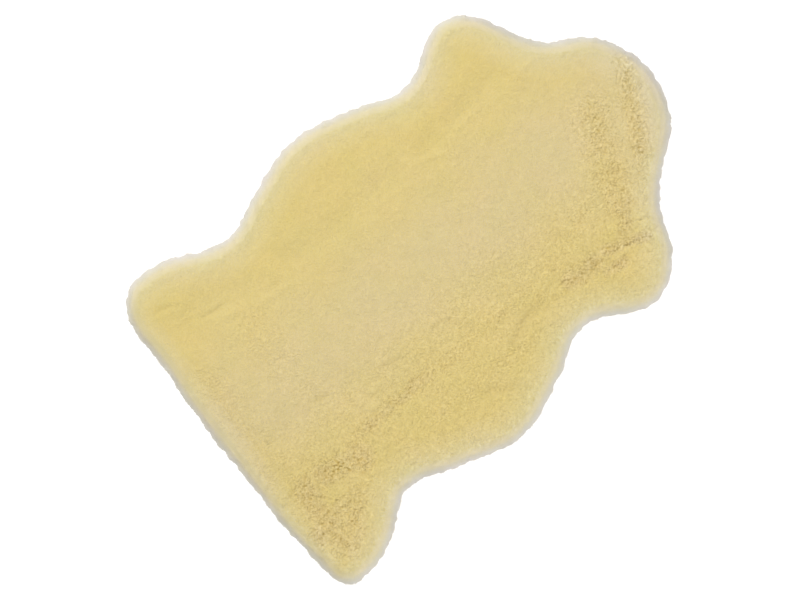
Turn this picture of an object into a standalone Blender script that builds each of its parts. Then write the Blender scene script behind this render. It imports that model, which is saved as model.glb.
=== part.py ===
"""Sheepskin rug, lying flat with its wool up.

The rug is one tanned lambskin: a thin hide with the wool still growing on it, sheared to an even
pile. It is a single piece, so it is a single solid. The flat hide is its base, the wool overhangs
the hide's edge all the way round, and the rim of the wool parts into short locks.

Units are metres. +Z is up, +Y points from the rump to the neck, +X to the right flank as seen
from above. The origin is on the floor, under the middle of the rug's box.
"""

import math
import random
from collections import namedtuple

import bmesh
import bpy
from mathutils import Vector, kdtree, noise
from mathutils.geometry import delaunay_2d_cdt

# --- The pelt's make-up, through its thickness ------------------------------------------------
HIDE_THICKNESS = 0.002
WOOL_LENGTH = 0.026
PILE_TOP = HIDE_THICKNESS + WOOL_LENGTH
# The wool bulges this far past the edge of the hide.
WOOL_OVERHANG = 0.014

# --- The outline ------------------------------------------------------------------------------
# Where the wool reaches to, anticlockwise from above. With its locks the rug is 0.90 long and
# 0.60 wide.
Landmark = namedtuple("Landmark", "name x y")
OUTLINE = (
    Landmark("left_foreleg", -0.285, 0.256),
    Landmark("left_armpit", -0.245, 0.134),
    Landmark("left_ribs", -0.272, 0.050),
    Landmark("left_belly", -0.294, -0.055),
    Landmark("left_flank", -0.268, -0.149),
    Landmark("left_groin", -0.243, -0.226),
    Landmark("left_hind_leg", -0.284, -0.356),
    Landmark("left_hind_corner", -0.273, -0.408),
    Landmark("left_rump", -0.145, -0.433),
    Landmark("tail", 0.050, -0.445),
    Landmark("right_rump", 0.232, -0.443),
    Landmark("right_hind_corner", 0.288, -0.431),
    Landmark("right_hind_leg", 0.296, -0.382),
    Landmark("right_thigh", 0.276, -0.330),
    Landmark("right_groin", 0.236, -0.265),
    Landmark("right_flank", 0.261, -0.175),
    Landmark("right_belly", 0.287, -0.079),
    Landmark("right_ribs", 0.258, 0.022),
    Landmark("right_armpit", 0.218, 0.106),
    Landmark("right_foreleg", 0.260, 0.229),
    Landmark("right_foreleg_top", 0.227, 0.284),
    Landmark("right_shoulder", 0.144, 0.327),
    Landmark("right_neck", 0.028, 0.438),
    Landmark("left_neck", -0.105, 0.421),
    Landmark("left_shoulder", -0.163, 0.345),
)
OUTLINE_STEPS = 24
# Makes the chance sizes and places of the rim's locks the same in each build.
SEED = 11

# --- The rim ----------------------------------------------------------------------------------
# One row for each ring of points on the rounded rim, from its widest line inwards. locks is the
# share of the locks' relief that shows on that ring.
RimRing = namedtuple("RimRing", "name inset height locks")
RIM = (
    RimRing("lip", 0.0000, 0.0090, 1.0),
    RimRing("brow", 0.0035, 0.0170, 0.9),
    RimRing("crown", 0.0100, 0.0235, 0.6),
    RimRing("shoulder", 0.0200, 0.0270, 0.2),
)
RIM_LOCKS = 200
RIM_POINTS = 2 * RIM_LOCKS
LOCK_TIP = (0.0010, 0.0036)
LOCK_PARTING = (0.0008, 0.0024)
LOCK_DROP = 0.0018
LOCK_SPACING_JITTER = 0.25

# --- The wool's surface -----------------------------------------------------------------------
# Each fold is a soft swell or trough along a line. rise is its height at the middle, and its
# effect dies away over half_width to each side.
Fold = namedtuple("Fold", "name from_x from_y to_x to_y half_width rise")
FOLDS = (
    Fold("back_swell", 0.000, 0.260, 0.000, -0.340, 0.150, 0.0036),
    Fold("right_shoulder_furrow", 0.165, 0.285, 0.152, 0.030, 0.019, -0.0050),
    Fold("right_foreleg_swell", 0.208, 0.230, 0.190, 0.060, 0.020, 0.0020),
    Fold("right_flank_hollow", 0.168, 0.000, 0.206, -0.105, 0.026, -0.0044),
    Fold("right_loin_crease", 0.118, -0.095, 0.124, -0.270, 0.011, -0.0032),
    Fold("right_haunch_furrow", 0.145, -0.285, 0.156, -0.415, 0.021, -0.0044),
    Fold("rump_furrow", 0.056, -0.205, 0.036, -0.400, 0.018, -0.0036),
    Fold("left_haunch_hollow", -0.196, -0.285, -0.170, -0.365, 0.030, -0.0036),
    Fold("left_loin_furrow", -0.152, 0.040, -0.150, -0.170, 0.019, -0.0034),
    Fold("left_shoulder_furrow", -0.168, 0.250, -0.150, 0.100, 0.019, -0.0036),
    Fold("nape_hollow", -0.088, 0.366, 0.004, 0.345, 0.028, -0.0030),
)
LUMP_SIZE = 0.030
LUMP_HEIGHT = 0.0016
# The folds and lumps fade in over this distance from the rim.
RELIEF_FADE = 0.045
SURFACE_SPACING = 0.0140
# Two points of the surface that lie closer than this are one point.
SAME_POINT = 1e-7

WOOL_COLOUR = (0.70, 0.57, 0.26, 1.0)
WOOL_ROUGHNESS = 0.95


def clear_scene():
    """Empties the scene that the script is run in."""
    for old in list(bpy.data.objects):
        bpy.data.objects.remove(old, do_unlink=True)


def new_collection(name):
    """Returns a new collection, linked to the scene."""
    collection = bpy.data.collections.new(name)
    bpy.context.scene.collection.children.link(collection)
    return collection


def outline_guide(collection):
    """Returns the rug's outline as a closed, smooth 2D curve through the landmarks."""
    curve = bpy.data.curves.new("outline_guide", "CURVE")
    curve.dimensions = "2D"
    curve.fill_mode = "NONE"
    curve.resolution_u = OUTLINE_STEPS
    spline = curve.splines.new("BEZIER")
    spline.bezier_points.add(len(OUTLINE) - 1)
    spline.use_cyclic_u = True
    for point, landmark in zip(spline.bezier_points, OUTLINE):
        point.co = (landmark.x, landmark.y, 0.0)
        point.handle_left_type = "AUTO"
        point.handle_right_type = "AUTO"
    guide = bpy.data.objects.new("outline_guide", curve)
    guide.hide_render = True
    guide.display_type = "WIRE"
    collection.objects.link(guide)
    return guide


def curve_points(guide):
    """Returns the curve's own points, in order, as 2D vectors."""
    bpy.context.view_layer.update()
    evaluated = guide.evaluated_get(bpy.context.evaluated_depsgraph_get())
    mesh = evaluated.to_mesh()
    points = [vertex.co.to_2d() for vertex in mesh.vertices]
    evaluated.to_mesh_clear()
    return points


def outward_normals(ring):
    """Returns the unit normal at each point of an anticlockwise ring, pointing out of it."""
    normals = []
    for i, _ in enumerate(ring):
        along = ring[(i + 1) % len(ring)] - ring[i - 1]
        normals.append(Vector((along.y, -along.x)).normalized())
    return normals


def spaced_points(ring, count, jitter, chance):
    """Returns count points along a closed ring. jitter is a share of their even spacing."""
    lengths = [(ring[(i + 1) % len(ring)] - point).length for i, point in enumerate(ring)]
    step = sum(lengths) / count
    places = [(i + chance.uniform(-jitter, jitter)) * step for i in range(1, count + 1)]
    spaced = []
    side = 0
    passed = 0.0
    for place in places:
        while passed + lengths[side % len(ring)] < place:
            passed += lengths[side % len(ring)]
            side += 1
        start = ring[side % len(ring)]
        end = ring[(side + 1) % len(ring)]
        spaced.append(start.lerp(end, (place - passed) / lengths[side % len(ring)]))
    return spaced


def smooth_step(value):
    """Eases from 0 to 1 as value goes from 0 to 1."""
    value = min(max(value, 0.0), 1.0)
    return value * value * (3.0 - 2.0 * value)


class Rim:
    """The rounded edge of the wool, with its locks."""

    def __init__(self, outline, chance):
        self.line = spaced_points(outline, RIM_POINTS, LOCK_SPACING_JITTER, chance)
        self.normals = outward_normals(self.line)
        self.reach = []
        self.drop = []
        for _ in range(RIM_LOCKS):
            self.reach += [chance.uniform(*LOCK_TIP), -chance.uniform(*LOCK_PARTING)]
            self.drop += [chance.uniform(-LOCK_DROP, LOCK_DROP), LOCK_DROP / 2]

    def ring(self, step):
        """Returns the points of one ring of the rim, as 3D vectors."""
        points = []
        for i, place in enumerate(self.line):
            out = self.reach[i] * step.locks - step.inset
            height = step.height - self.drop[i] * step.locks
            points.append((place + self.normals[i] * out).to_3d() + Vector((0, 0, height)))
        return points

    def hide_edge(self):
        """Returns the edge of the hide, below the rim, as 2D vectors."""
        return [place - normal * WOOL_OVERHANG for place, normal in zip(self.line, self.normals)]


class Surface:
    """The even pile between the rims, with its folds and lumps."""

    def __init__(self, outline):
        self.outline = outline
        self.normals = outward_normals(outline)
        self.nearest = kdtree.KDTree(len(outline))
        for i, place in enumerate(outline):
            self.nearest.insert(place.to_3d(), i)
        self.nearest.balance()

    def inset(self, place):
        """Returns how far inside the outline a 2D place is. It is negative outside."""
        _, i, _ = self.nearest.find(place.to_3d())
        return (self.outline[i] - place).dot(self.normals[i])

    def height(self, place):
        """Returns the height of the wool's tips over a 2D place well inside the rim."""
        shoulder = RIM[-1]
        inset = self.inset(place)
        body = smooth_step((inset - shoulder.inset) / RELIEF_FADE)
        level = shoulder.height + (PILE_TOP - shoulder.height) * body
        relief = sum(fold_rise(fold, place) for fold in FOLDS)
        lumps = noise.noise((place / LUMP_SIZE).to_3d()) * LUMP_HEIGHT
        return level + (relief + lumps) * body

    def points(self):
        """Returns the points of an even triangular grid inside the rim, as 3D vectors."""
        row_gap = SURFACE_SPACING * math.sqrt(3) / 2
        xs = [place.x for place in self.outline]
        ys = [place.y for place in self.outline]
        margin = RIM[-1].inset + SURFACE_SPACING / 2
        points = []
        for row in range(math.ceil((max(ys) - min(ys)) / row_gap)):
            shift = SURFACE_SPACING / 2 * (row % 2)
            for column in range(math.ceil((max(xs) - min(xs)) / SURFACE_SPACING)):
                x = min(xs) + column * SURFACE_SPACING + shift
                place = Vector((x, min(ys) + row * row_gap))
                if self.inset(place) > margin:
                    points.append(place.to_3d() + Vector((0, 0, self.height(place))))
        return points


def fold_rise(fold, place):
    """Returns how much one fold lifts the wool over a 2D place."""
    start = Vector((fold.from_x, fold.from_y))
    run = Vector((fold.to_x, fold.to_y)) - start
    along = min(max((place - start).dot(run) / run.length_squared, 0.0), 1.0)
    away = (place - start - run * along).length
    return fold.rise * math.exp(-((away / fold.half_width) ** 2))


def wool_top(rim, surface):
    """Returns the wool's upper face as points and triangles. Its first points are the lip's."""
    points = [point for step in RIM for point in rim.ring(step)] + surface.points()
    lip = [(i, (i + 1) % RIM_POINTS) for i in range(RIM_POINTS)]
    flat = [point.to_2d() for point in points]
    _, _, triangles, origins, _, _ = delaunay_2d_cdt(flat, lip, [], 1, SAME_POINT)
    faces = [[origins[corner][0] for corner in triangle] for triangle in triangles]
    return points, faces


def close_underside(shape, lip, hide_edge):
    """Adds the wool's overhang, the edge of the hide and its flat base below the lip."""
    levels = ((hide_edge, HIDE_THICKNESS), (hide_edge, 0.0))
    ring = lip
    for places, height in levels:
        edges = [shape.edges.get((ring[i - 1], ring[i])) for i in range(len(ring))]
        made = bmesh.ops.extrude_edge_only(shape, edges=edges)
        lower = {vertex for vertex in made["geom"] if isinstance(vertex, bmesh.types.BMVert)}
        ring = [next(e.other_vert(v) for e in v.link_edges if e.other_vert(v) in lower) for v in ring]
        for vertex, place in zip(ring, places):
            vertex.co = (place.x, place.y, height)
    bmesh.ops.contextual_create(shape, geom=ring)


def centre_on_origin(mesh):
    """Moves the mesh so that its box is centred over the origin."""
    xs = [vertex.co.x for vertex in mesh.vertices]
    ys = [vertex.co.y for vertex in mesh.vertices]
    middle = Vector(((min(xs) + max(xs)) / 2, (min(ys) + max(ys)) / 2, 0.0))
    for vertex in mesh.vertices:
        vertex.co -= middle


def wool_material():
    """Returns the wool's plain material."""
    material = bpy.data.materials.new("wool")
    material.use_nodes = True
    shader = material.node_tree.nodes["Principled BSDF"]
    shader.inputs["Base Color"].default_value = WOOL_COLOUR
    shader.inputs["Roughness"].default_value = WOOL_ROUGHNESS
    shader.inputs["Metallic"].default_value = 0.0
    return material


def build_pelt(collection, guide):
    """Builds the pelt as one closed solid."""
    outline = curve_points(guide)
    rim = Rim(outline, random.Random(SEED))
    points, faces = wool_top(rim, Surface(outline))
    mesh = bpy.data.meshes.new("pelt")
    mesh.from_pydata(points, [], faces)
    shape = bmesh.new()
    shape.from_mesh(mesh)
    shape.verts.ensure_lookup_table()
    close_underside(shape, shape.verts[:RIM_POINTS], rim.hide_edge())
    bmesh.ops.recalc_face_normals(shape, faces=shape.faces)
    shape.to_mesh(mesh)
    shape.free()
    centre_on_origin(mesh)
    mesh.shade_smooth()
    mesh.materials.append(wool_material())
    pelt = bpy.data.objects.new("pelt", mesh)
    collection.objects.link(pelt)
    return pelt


clear_scene()
build_pelt(new_collection("sheepskin_rug"), outline_guide(new_collection("guides")))
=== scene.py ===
"""The looks of a sheepskin rug, built around its packed pelt.

The rug is one tanned lambskin that lies flat with its wool up. What shows from above is the wool:
a fine uneven bed, and on it about 264,000 small locks, gathered into staples, combed out over the
rim and curlier along the right side. Underneath lies the suede side of the hide.

Units are metres. +Z is up, +Y points from the rump to the neck, +X to the right flank.
"""

import logging
import math
from dataclasses import dataclass, field
from enum import Enum
from typing import Union

import bmesh
import bpy
import numpy as np
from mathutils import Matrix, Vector, bvhtree, kdtree, noise
from mathutils.geometry import delaunay_2d_cdt


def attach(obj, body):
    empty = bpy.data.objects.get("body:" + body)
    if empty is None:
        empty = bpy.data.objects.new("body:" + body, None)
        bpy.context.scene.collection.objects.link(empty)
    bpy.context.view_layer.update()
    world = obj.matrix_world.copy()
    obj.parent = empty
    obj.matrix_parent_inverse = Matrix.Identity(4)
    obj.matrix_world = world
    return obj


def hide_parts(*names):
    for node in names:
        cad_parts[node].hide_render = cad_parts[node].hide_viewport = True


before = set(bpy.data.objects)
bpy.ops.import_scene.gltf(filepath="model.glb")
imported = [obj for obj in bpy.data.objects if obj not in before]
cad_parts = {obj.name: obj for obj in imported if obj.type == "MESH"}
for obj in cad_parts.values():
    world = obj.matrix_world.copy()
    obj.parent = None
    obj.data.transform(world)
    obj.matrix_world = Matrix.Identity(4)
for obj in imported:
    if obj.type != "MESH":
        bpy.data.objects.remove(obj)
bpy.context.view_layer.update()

BODY = "root"
PELT = "pelt"
SEED = 20
TINY = 1e-9
UP = (0.0, 0.0, 1.0)
# Steep wool is lit as if it faced up this much more.
UPLIFT = 3.0
# Tells Blender's triangulation to keep only what lies inside its loop.
INSIDE_ONLY = 1

Array = np.ndarray
Colour = tuple[float, float, float, float]
Number = Union[float, "Field"]

log = logging.getLogger("sheepskin_rug")


# --- Plain numbers ----------------------------------------------------------------------------


class Layer(Enum):
    """The layers of noise, far enough apart to be unlike each other."""

    CURL = 3.0
    HIDE = 5.0
    REACH = 17.0
    BLEACH = 23.0
    SCALLOP = 29.0
    STREAK = 31.0
    KNOT = 37.0


def smooth_step(value: Array) -> Array:
    """Eases from 0 to 1 as value goes from 0 to 1."""
    held = np.clip(value, 0.0, 1.0)
    return held * held * (3.0 - 2.0 * held)


def eased(value: Array, stretch: tuple[float, float]) -> Array:
    """Eases from 0 to 1 as value goes over a stretch."""
    return smooth_step((value - stretch[0]) / (stretch[1] - stretch[0]))


def between(ends: tuple[float, float], share: Array) -> Array:
    """Returns what lies a share of the way from the first end to the second."""
    return ends[0] + (ends[1] - ends[0]) * share


def unit(vectors: Array) -> Array:
    """Returns the vectors at length 1."""
    return vectors / np.maximum(np.linalg.norm(vectors, axis=-1, keepdims=True), TINY)


def lifted(normals: Array, share: float | Array = 1.0) -> Array:
    """Turns steep normals upwards, because light comes through the wool from above.

    Args:
        normals: The true normals.
        share: How much of the lift they get, for each or for all.

    Returns:
        The normals to light the wool by.
    """
    raised = normals.copy()
    raised[:, 2] += UPLIFT * share * (1.0 - normals[:, 2])
    return unit(raised)


def flattened(vectors: Array, normals: Array) -> Array:
    """Returns the vectors without their part along the normals."""
    return vectors - normals * (vectors * normals).sum(-1, keepdims=True)


def noise_at(places: Array, size: float, layer: Layer) -> Array:
    """Reads smooth noise at some places.

    Args:
        places: Points, one in each row.
        size: How far apart the noise's lumps are.
        layer: Which noise it is.

    Returns:
        The noise at each place, from -1 to 1.
    """
    scaled = np.zeros((len(places), 3))
    scaled[:, : places.shape[1]] = places / size
    scaled[:, 2] += layer.value
    return np.array([noise.noise(place) for place in scaled])


def passed_along(points: Array) -> Array:
    """Returns the length of a line from its start to each of its points."""
    return np.concatenate([[0.0], np.cumsum(np.linalg.norm(np.diff(points, axis=0), axis=1))])


def respaced(points: Array, step: float, endpoint: bool) -> Array:
    """Spaces the points of a line evenly.

    Args:
        points: The line's points, as rows of two numbers.
        step: About how far apart the new ones are.
        endpoint: Whether the line's last point is one of them.

    Returns:
        The new points.
    """
    passed = passed_along(points)
    places = np.linspace(0.0, passed[-1], round(passed[-1] / step), endpoint=endpoint)
    return np.stack([np.interp(places, passed, points[:, k]) for k in (0, 1)], -1)


def area_inside(points: Array) -> float:
    """Measures a closed line.

    Args:
        points: Its corners, as rows of x and y.

    Returns:
        The area inside it, negative where it runs clockwise.
    """
    x, y = points.T
    ahead_x, ahead_y = np.roll(points, -1, 0).T
    return float((x * ahead_y - ahead_x * y).sum() / 2)


def tree_of(places: Array) -> kdtree.KDTree:
    """Sorts places by where they are.

    Args:
        places: Points, one in each row.

    Returns:
        A tree that finds the nearest of them.
    """
    tree = kdtree.KDTree(len(places))
    for i, place in enumerate(places):
        tree.insert(place, i)
    tree.balance()
    return tree


def linear(red: float, green: float, blue: float) -> Colour:
    """Turns a screen colour of 0 to 255 into the linear colour that a shader takes."""
    shares = (red / 255, green / 255, blue / 255)
    return (*(s / 12.92 if s <= 0.04045 else ((s + 0.055) / 1.055) ** 2.4 for s in shares), 1.0)


# --- The pelt's form --------------------------------------------------------------------------


@dataclass
class Raster:
    """Values on an even grid seen from above, read between its points."""

    low: Array
    cell: float
    values: Array

    def places(self) -> Array:
        """Lists the grid's points.

        Returns:
            The points, as rows of x and y.
        """
        columns, rows = self.values.shape
        xs = self.low[0] + self.cell * np.arange(columns)
        ys = self.low[1] + self.cell * np.arange(rows)
        return np.stack(np.meshgrid(xs, ys, indexing="ij"), -1).reshape(-1, 2)

    def at(self, places: Array) -> Array:
        """Reads the raster, between the four grid points round each place.

        Args:
            places: Points, whose x and y are used.

        Returns:
            The value at each place.
        """
        steps = (places[:, :2] - self.low) / self.cell
        corner = np.clip(steps.astype(int), 0, np.array(self.values.shape) - 2)
        x, y = np.clip(steps - corner, 0.0, 1.0).T
        i, j = corner.T
        near = self.values[i, j] * (1 - x) + self.values[i + 1, j] * x
        far = self.values[i, j + 1] * (1 - x) + self.values[i + 1, j + 1] * x
        return near * (1 - y) + far * y

    def blurred(self, width: float) -> "Raster":
        """Smooths fine details away.

        Args:
            width: How wide the finest details are that stay.

        Returns:
            The smooth raster.
        """
        reach = math.ceil(3 * width / self.cell)
        weights = np.exp(-0.5 * (np.arange(-reach, reach + 1) * self.cell / width) ** 2)
        weights /= weights.sum()
        values = self.values
        for axis in (0, 1):
            values = np.apply_along_axis(np.convolve, axis, values, weights, "same")
        return Raster(self.low, self.cell, values)

    def slopes(self) -> tuple["Raster", "Raster"]:
        """Returns how steeply the values rise along x and along y."""
        along_x, along_y = np.gradient(self.values, self.cell)
        return Raster(self.low, self.cell, along_x), Raster(self.low, self.cell, along_y)


class RimLine:
    """The line that the wool reaches to, seen from above. It runs anticlockwise."""

    def __init__(self, corners: Array, step: float) -> None:
        """Spaces the corners of a closed line evenly and smooths them a little.

        Args:
            corners: The line's corners, anticlockwise.
            step: About how far apart its points are.
        """
        self.points = corners
        for _ in range(2):
            self.points = respaced(np.vstack([self.points, self.points[:1]]), step, False)
            before, after = np.roll(self.points, 1, 0), np.roll(self.points, -1, 0)
            self.points = (before + 2 * self.points + after) / 4
        before, after = np.roll(self.points, 1, 0), np.roll(self.points, -1, 0)
        along = after - before
        self.normals = unit(np.stack([along[:, 1], -along[:, 0]], -1))
        self.length = np.linalg.norm(after - self.points, axis=1).sum()
        self.tree = tree_of(np.column_stack([self.points, np.zeros(len(self.points))]))

    def at(self, places: Array) -> tuple[Array, Array]:
        """Reads the line at some lengths along it.

        Args:
            places: The lengths.

        Returns:
            The point and the outward normal at each.
        """
        steps = (places / self.length) % 1.0 * len(self.points)
        before = steps.astype(int) % len(self.points)
        after = (before + 1) % len(self.points)
        share = (steps % 1.0)[:, None]
        points = self.points[before] * (1 - share) + self.points[after] * share
        normals = self.normals[before] * (1 - share) + self.normals[after] * share
        return points, unit(normals)

    def inset(self, places: Array) -> Array:
        """Measures how far inside the line places are.

        Args:
            places: Points, as rows of x and y.

        Returns:
            Each one's distance from the line. It is negative outside.
        """
        nearest = np.array([self.tree.find((x, y, 0.0))[1] for x, y in places])
        away = self.points[nearest] - places
        return np.linalg.norm(away, axis=1) * np.sign((away * self.normals[nearest]).sum(-1))


@dataclass
class Pelt:
    """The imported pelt's form: its rim line, its rounded edge and the folds of its pile."""

    node: bpy.types.Object
    # The wool reaches this far past the edge of the hide.
    overhang: float = 0.0155
    # Its rim has soft scallops, of this height and width, that fade out this far inside the rim.
    scallop: float = 0.0030
    scallop_width: float = 0.011
    scallop_depth: float = 0.012
    rim_step: float = 0.001
    cell: float = 0.002
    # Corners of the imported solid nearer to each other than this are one.
    welded: float = 0.00001
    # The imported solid's flat facets are smoothed over this width.
    facet_blur: float = 0.006
    # The rounded edge, as distances inside the rim line and heights: from the edge of the hide,
    # round the lip and up to the level pile.
    edge: tuple[tuple[float, float], ...] = (
        (0.0140, 0.0020),
        (0.0060, 0.0040),
        (0.0000, 0.0095),
        (0.0035, 0.0170),
        (0.0100, 0.0235),
        (0.0200, 0.0270),
        (0.0420, 0.0280),
    )
    edge_step: float = 0.0005
    edge_rounding: int = 20
    # Below this height the wool of the side counts as further in, so that it turns warm again.
    side_top: float = 0.0130
    # The rounded edge ends and the level field of wool begins this far inside the rim line.
    shoulder: float = 0.020

    def __post_init__(self) -> None:
        """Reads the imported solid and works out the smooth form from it."""
        solid = bmesh.new()
        solid.from_mesh(self.node.data)
        bmesh.ops.remove_doubles(solid, verts=solid.verts, dist=self.welded)
        self.hide_line = self._base_line(solid)
        hide = RimLine(self.hide_line, self.rim_step)
        self.rim = RimLine(hide.points + hide.normals * self.overhang, self.rim_step)
        self.round = self._rounded_edge()
        self.lip = int(np.argmin(self.round[:, 0]))
        end = self.lip + np.searchsorted(self.round[self.lip :, 0], self.shoulder)
        self.section = self.round[:end]
        self.climb = np.linalg.norm(np.diff(self.section, axis=0), axis=1).sum()
        self.lip_climb = self.climb * self.lip / end
        self.height, self.inset = self._surface(bvhtree.BVHTree.FromBMesh(solid))
        self.inward_x, self.inward_y = self.inset.slopes()
        solid.free()

    def _base_line(self, solid: bmesh.types.BMesh) -> Array:
        """Finds the edge of the solid's flat base.

        Args:
            solid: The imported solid.

        Returns:
            The base's corners, anticlockwise from above.
        """
        touching = 0.0001
        base = {f for f in solid.faces if all(v.co.z < touching for v in f.verts)}
        border = [e for e in solid.edges if sum(f in base for f in e.link_faces) == 1]
        beside: dict[bmesh.types.BMVert, list[bmesh.types.BMVert]] = {}
        for edge in border:
            for vertex in edge.verts:
                beside.setdefault(vertex, []).append(edge.other_vert(vertex))
        line = [border[0].verts[0], border[0].verts[1]]
        while len(line) < len(border):
            line.append(next(v for v in beside[line[-1]] if v != line[-2]))
        points = np.array([vertex.co[:2] for vertex in line])
        return points if area_inside(points) > 0 else points[::-1]

    def _rounded_edge(self) -> Array:
        """Rounds the corners of the edge's section.

        Returns:
            The section as closely spaced points.
        """
        points = respaced(np.array(self.edge), self.edge_step, True)
        for _ in range(self.edge_rounding):
            points[1:-1] = (points[:-2] + 2 * points[1:-1] + points[2:]) / 4
        return points

    def bulge(self, along: Array, inset: Array) -> Array:
        """Works out how far the rim's scallops push the wool out.

        Args:
            along: Lengths along the rim.
            inset: How far inside the rim line each place is.

        Returns:
            How far each place is pushed.
        """
        points, _ = self.rim.at(along)
        fade = 1.0 - smooth_step(inset / self.scallop_depth)
        return self.scallop * noise_at(points, self.scallop_width, Layer.SCALLOP) * fade

    def level(self, inset: Array) -> Array:
        """Returns the height of the pile without its folds, some way inside the rim line."""
        top = self.round[self.lip :]
        return np.interp(inset, top[:, 0], top[:, 1])

    def _surface(self, solid: bvhtree.BVHTree) -> tuple[Raster, Raster]:
        """Reads the pile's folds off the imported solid.

        Args:
            solid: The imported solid.

        Returns:
            The pile's height, and how far inside the rim line each place is, seen from above.
        """
        margin = 4 * self.cell
        low = self.rim.points.min(0) - margin
        shape = np.ceil((self.rim.points.max(0) + margin - low) / self.cell).astype(int) + 1
        inset = Raster(low, self.cell, np.zeros(shape))
        places = inset.places()
        inset.values = self.rim.inset(places).reshape(shape)
        inner = inset.values > self.shoulder
        above = 1.0
        hits = [solid.ray_cast((x, y, above), (0, 0, -1))[0] for x, y in places]
        cast = np.array([hit.z if hit else 0.0 for hit in hits]).reshape(shape)
        level = self.level(inset.values)
        rise = Raster(low, self.cell, np.where(inner, cast - level, 0.0)).blurred(self.facet_blur)
        known = Raster(low, self.cell, inner.astype(float)).blurred(self.facet_blur)
        least = 0.01
        folds = np.where(known.values > least, rise.values / np.maximum(known.values, least), 0.0)
        fade = smooth_step((inset.values - self.shoulder / 2) / self.shoulder)
        return Raster(low, self.cell, level + folds * fade), inset


# --- Where the locks grow ---------------------------------------------------------------------


@dataclass
class Roots:
    """Places spread over the wool's outer surface, with what the wool is like at each."""

    place: Array
    normal: Array
    inset: Array
    # The level direction to the nearest rim.
    outward: Array

    def joined(self, other: "Roots") -> "Roots":
        """Returns these places followed by others."""
        pairs = zip(vars(self).values(), vars(other).values())
        return Roots(*(np.concatenate(pair) for pair in pairs))

    def picked(self, chosen: Array) -> "Roots":
        """Returns only the chosen places."""
        return Roots(*(values[chosen] for values in vars(self).values()))


@dataclass
class Scatter:
    """Spreads roots over the pelt, on a grid of triangles that is shaken at random."""

    pelt: Pelt
    height: Raster
    chance: np.random.Generator

    def __post_init__(self) -> None:
        """Works out how steep the surface is."""
        self.slope_x, self.slope_y = self.height.slopes()

    def normals(self, places: Array) -> Array:
        """Returns which way the surface faces at each place."""
        slopes = np.column_stack([-self.slope_x.at(places), -self.slope_y.at(places)])
        return unit(np.column_stack([slopes, np.ones(len(places))]))

    def _grid(self, width: float, depth: float, spacing: float, jitter: float) -> Array:
        """Spreads grid points over a rectangle that starts at the origin, and shakes them.

        Args:
            width: The rectangle's size along x.
            depth: Its size along y.
            spacing: How far apart the points are.
            jitter: How far each is shaken, as a share of spacing.

        Returns:
            The points.
        """
        row_gap = spacing * math.sqrt(3) / 2
        rows = max(round(depth / row_gap), 1)
        columns = max(round(width / spacing), 1)
        down, across = np.mgrid[0:rows, 0:columns].reshape(2, -1).astype(float)
        across += 0.5 * (down % 2)
        grid = np.stack([across * width / columns, (down + 0.5) * depth / rows], -1)
        return grid + self.chance.uniform(-jitter, jitter, grid.shape) * spacing

    def field(self, spacing: float, jitter: float, margin: float = 0.0) -> Roots:
        """Spreads roots over the level field, inside the rounded edge.

        Args:
            spacing: How far apart the roots are.
            jitter: How far each is shaken, as a share of spacing.
            margin: How far past the shoulder the field begins.

        Returns:
            The roots.
        """
        pelt = self.pelt
        low = pelt.rim.points.min(0)
        width, depth = pelt.rim.points.max(0) - low
        places = low + self._grid(width, depth, spacing, jitter)
        inset = pelt.inset.at(places)
        kept = inset > pelt.shoulder + margin
        places = places[kept]
        tops = np.column_stack([places, self.height.at(places)])
        normals = self.normals(places)
        outward = -np.column_stack([pelt.inward_x.at(places), pelt.inward_y.at(places)])
        outward = np.column_stack([unit(outward), np.zeros(len(places))])
        return Roots(tops, normals, inset[kept], outward)

    def edge(self, spacing: float, jitter: float, start: float = 0.0) -> Roots:
        """Spreads roots over the rounded edge, from under the lip up to the shoulder.

        Args:
            spacing: How far apart the roots are.
            jitter: How far each is shaken, as a share of spacing.
            start: How far up the section, from the edge of the hide, the first row is.

        Returns:
            The roots.
        """
        climb = self.pelt.climb
        along, up = self._grid(self.pelt.rim.length, climb - start, spacing, jitter).T
        return self.on_edge(along, np.clip(up + start, 0.0, climb))

    def on_edge(self, along: Array, up: Array) -> Roots:
        """Puts roots on the rounded edge.

        Args:
            along: How far along the rim each is.
            up: How far up the section each is, from the edge of the hide.

        Returns:
            The roots.
        """
        pelt = self.pelt
        section = pelt.section
        passed = np.linspace(0.0, pelt.climb, len(section))
        inset, height = (np.interp(up, passed, section[:, k]) for k in (0, 1))
        run = unit(np.gradient(section, axis=0))
        out, lift = (np.interp(up, passed, values) for values in (run[:, 1], run[:, 0]))
        points, normals = pelt.rim.at(along)
        inward = (inset - pelt.bulge(along, inset))[:, None]
        places = np.column_stack([points - normals * inward, height])
        facing = unit(np.column_stack([normals * out[:, None], lift]))
        above = up > pelt.lip_climb
        places[:, 2] += (pelt.height.at(places) - pelt.level(pelt.inset.at(places))) * above
        relief = self.height.at(places) - pelt.height.at(places)
        places += facing * (relief * above)[:, None]
        inset = inset + np.maximum(pelt.side_top - height, 0.0)
        return Roots(places, facing, inset, np.column_stack([normals, np.zeros(len(normals))]))


@dataclass(frozen=True)
class CurlyPatch:
    """A stretch of the rug where the wool is curlier, as a line with a soft width."""

    name: str
    start: tuple[float, float]
    end: tuple[float, float]
    width: float
    strength: float

    def share(self, places: Array) -> Array:
        """Works out how far the patch reaches.

        Args:
            places: Points, whose x and y are used.

        Returns:
            How much of its curl there is at each.
        """
        start = np.array(self.start)
        run = np.array(self.end) - start
        along = np.clip((places[:, :2] - start) @ run / (run @ run), 0.0, 1.0)
        away = np.linalg.norm(places[:, :2] - start - along[:, None] * run, axis=1)
        return self.strength * np.exp(-((away / self.width) ** 2))


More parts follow.
